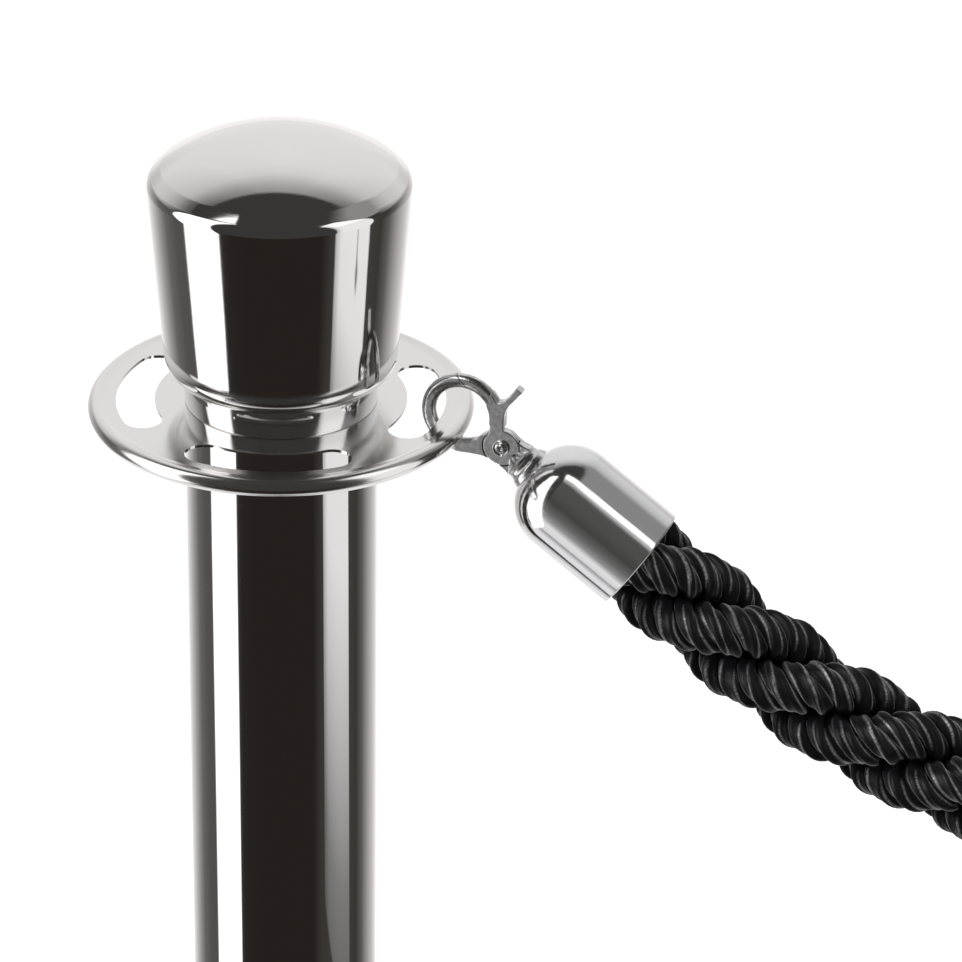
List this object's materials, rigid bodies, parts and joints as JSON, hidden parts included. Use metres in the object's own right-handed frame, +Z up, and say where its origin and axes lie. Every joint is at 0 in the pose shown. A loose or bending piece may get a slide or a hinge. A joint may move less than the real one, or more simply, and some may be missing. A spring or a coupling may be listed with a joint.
{
  "type": "rope barrier stanchion",
  "caption": "Polished steel post on a weighted round base, with a domed crown and a slotted rope ring that holds one twisted rope by a sprung swivel hook.",
  "frame": {"origin": "middle of the base where it stands on the floor", "axes": "+Z up along the post; the used rope slot is on +X, and the rope hangs off towards +X and slightly -Y"},
  "size_m": [0.4459, 0.32, 1],
  "materials": {
    "polished_steel": "mirror-polished stainless steel",
    "chrome_plate": "bright plated die casting",
    "zinc_steel": "zinc-plated steel",
    "cast_weight": "rough casting, dark primer",
    "floor_rubber": "matt black rubber",
    "black_rope": "twisted satin yarn"
  },
  "bodies": {
    "stanchion": {"floor_ring": "floor_rubber", "base_weight": "cast_weight", "base_cover": "polished_steel", "base_collar": "polished_steel", "base_bolt": "zinc_steel", "base_washer": "zinc_steel", "lock_washer": "zinc_steel", "post_tube": "polished_steel", "bottom_plug": "zinc_steel", "top_plug": "zinc_steel", "rope_ring": "polished_steel", "neck_collar": "polished_steel", "crown_stud": "zinc_steel", "crown_insert": "zinc_steel", "crown_shell": "polished_steel"},
    "near_hook": {"near_hook_body": "chrome_plate", "near_hook_rivet": "zinc_steel", "near_hook_spring": "zinc_steel", "near_shank_washer": "zinc_steel"},
    "near_trigger": {"near_hook_trigger": "chrome_plate"},
    "rope_set": {"near_swivel_collar": "chrome_plate", "near_rope_cap": "chrome_plate", "rope": "black_rope", "far_rope_cap": "chrome_plate", "far_swivel_collar": "chrome_plate"},
    "far_hook": {"far_hook_body": "chrome_plate", "far_hook_rivet": "zinc_steel", "far_hook_spring": "zinc_steel", "far_shank_washer": "zinc_steel"},
    "far_trigger": {"far_hook_trigger": "chrome_plate"}
  },
  "joints": [
    {"name": "near_hook_swing", "type": "hinge", "parent": "stanchion", "child": "near_hook", "pos_m": [0.0485, -0.0103, 0.9274], "axis": [-0.2656, -0.9641, 0], "range_deg": [-50, 50]},
    {"name": "near_swivel", "type": "hinge", "parent": "near_hook", "child": "rope_set", "pos_m": [0.06437, -0.01467, 0.91604], "axis": [0.7936, -0.2186, -0.5678], "continuous": true},
    {"name": "near_trigger_pivot", "type": "hinge", "parent": "near_hook", "child": "near_trigger", "pos_m": [0.05921, -0.01325, 0.91973], "axis": [0.2656, 0.9641, 0], "range_deg": [0, 30], "stiffness_Nm_per_rad": 0.02, "springref_deg": -17.19},
    {"name": "far_swivel", "type": "hinge", "parent": "rope_set", "child": "far_hook", "pos_m": [0.25606, -0.06747, 0.82752], "axis": [-0.9454, 0.2604, 0.1959], "continuous": true},
    {"name": "far_trigger_pivot", "type": "hinge", "parent": "far_hook", "child": "far_trigger", "pos_m": [0.2622, -0.06916, 0.82625], "axis": [-0.2656, -0.9641, 0], "range_deg": [0, 30], "stiffness_Nm_per_rad": 0.02, "springref_deg": -17.19}
  ]
}
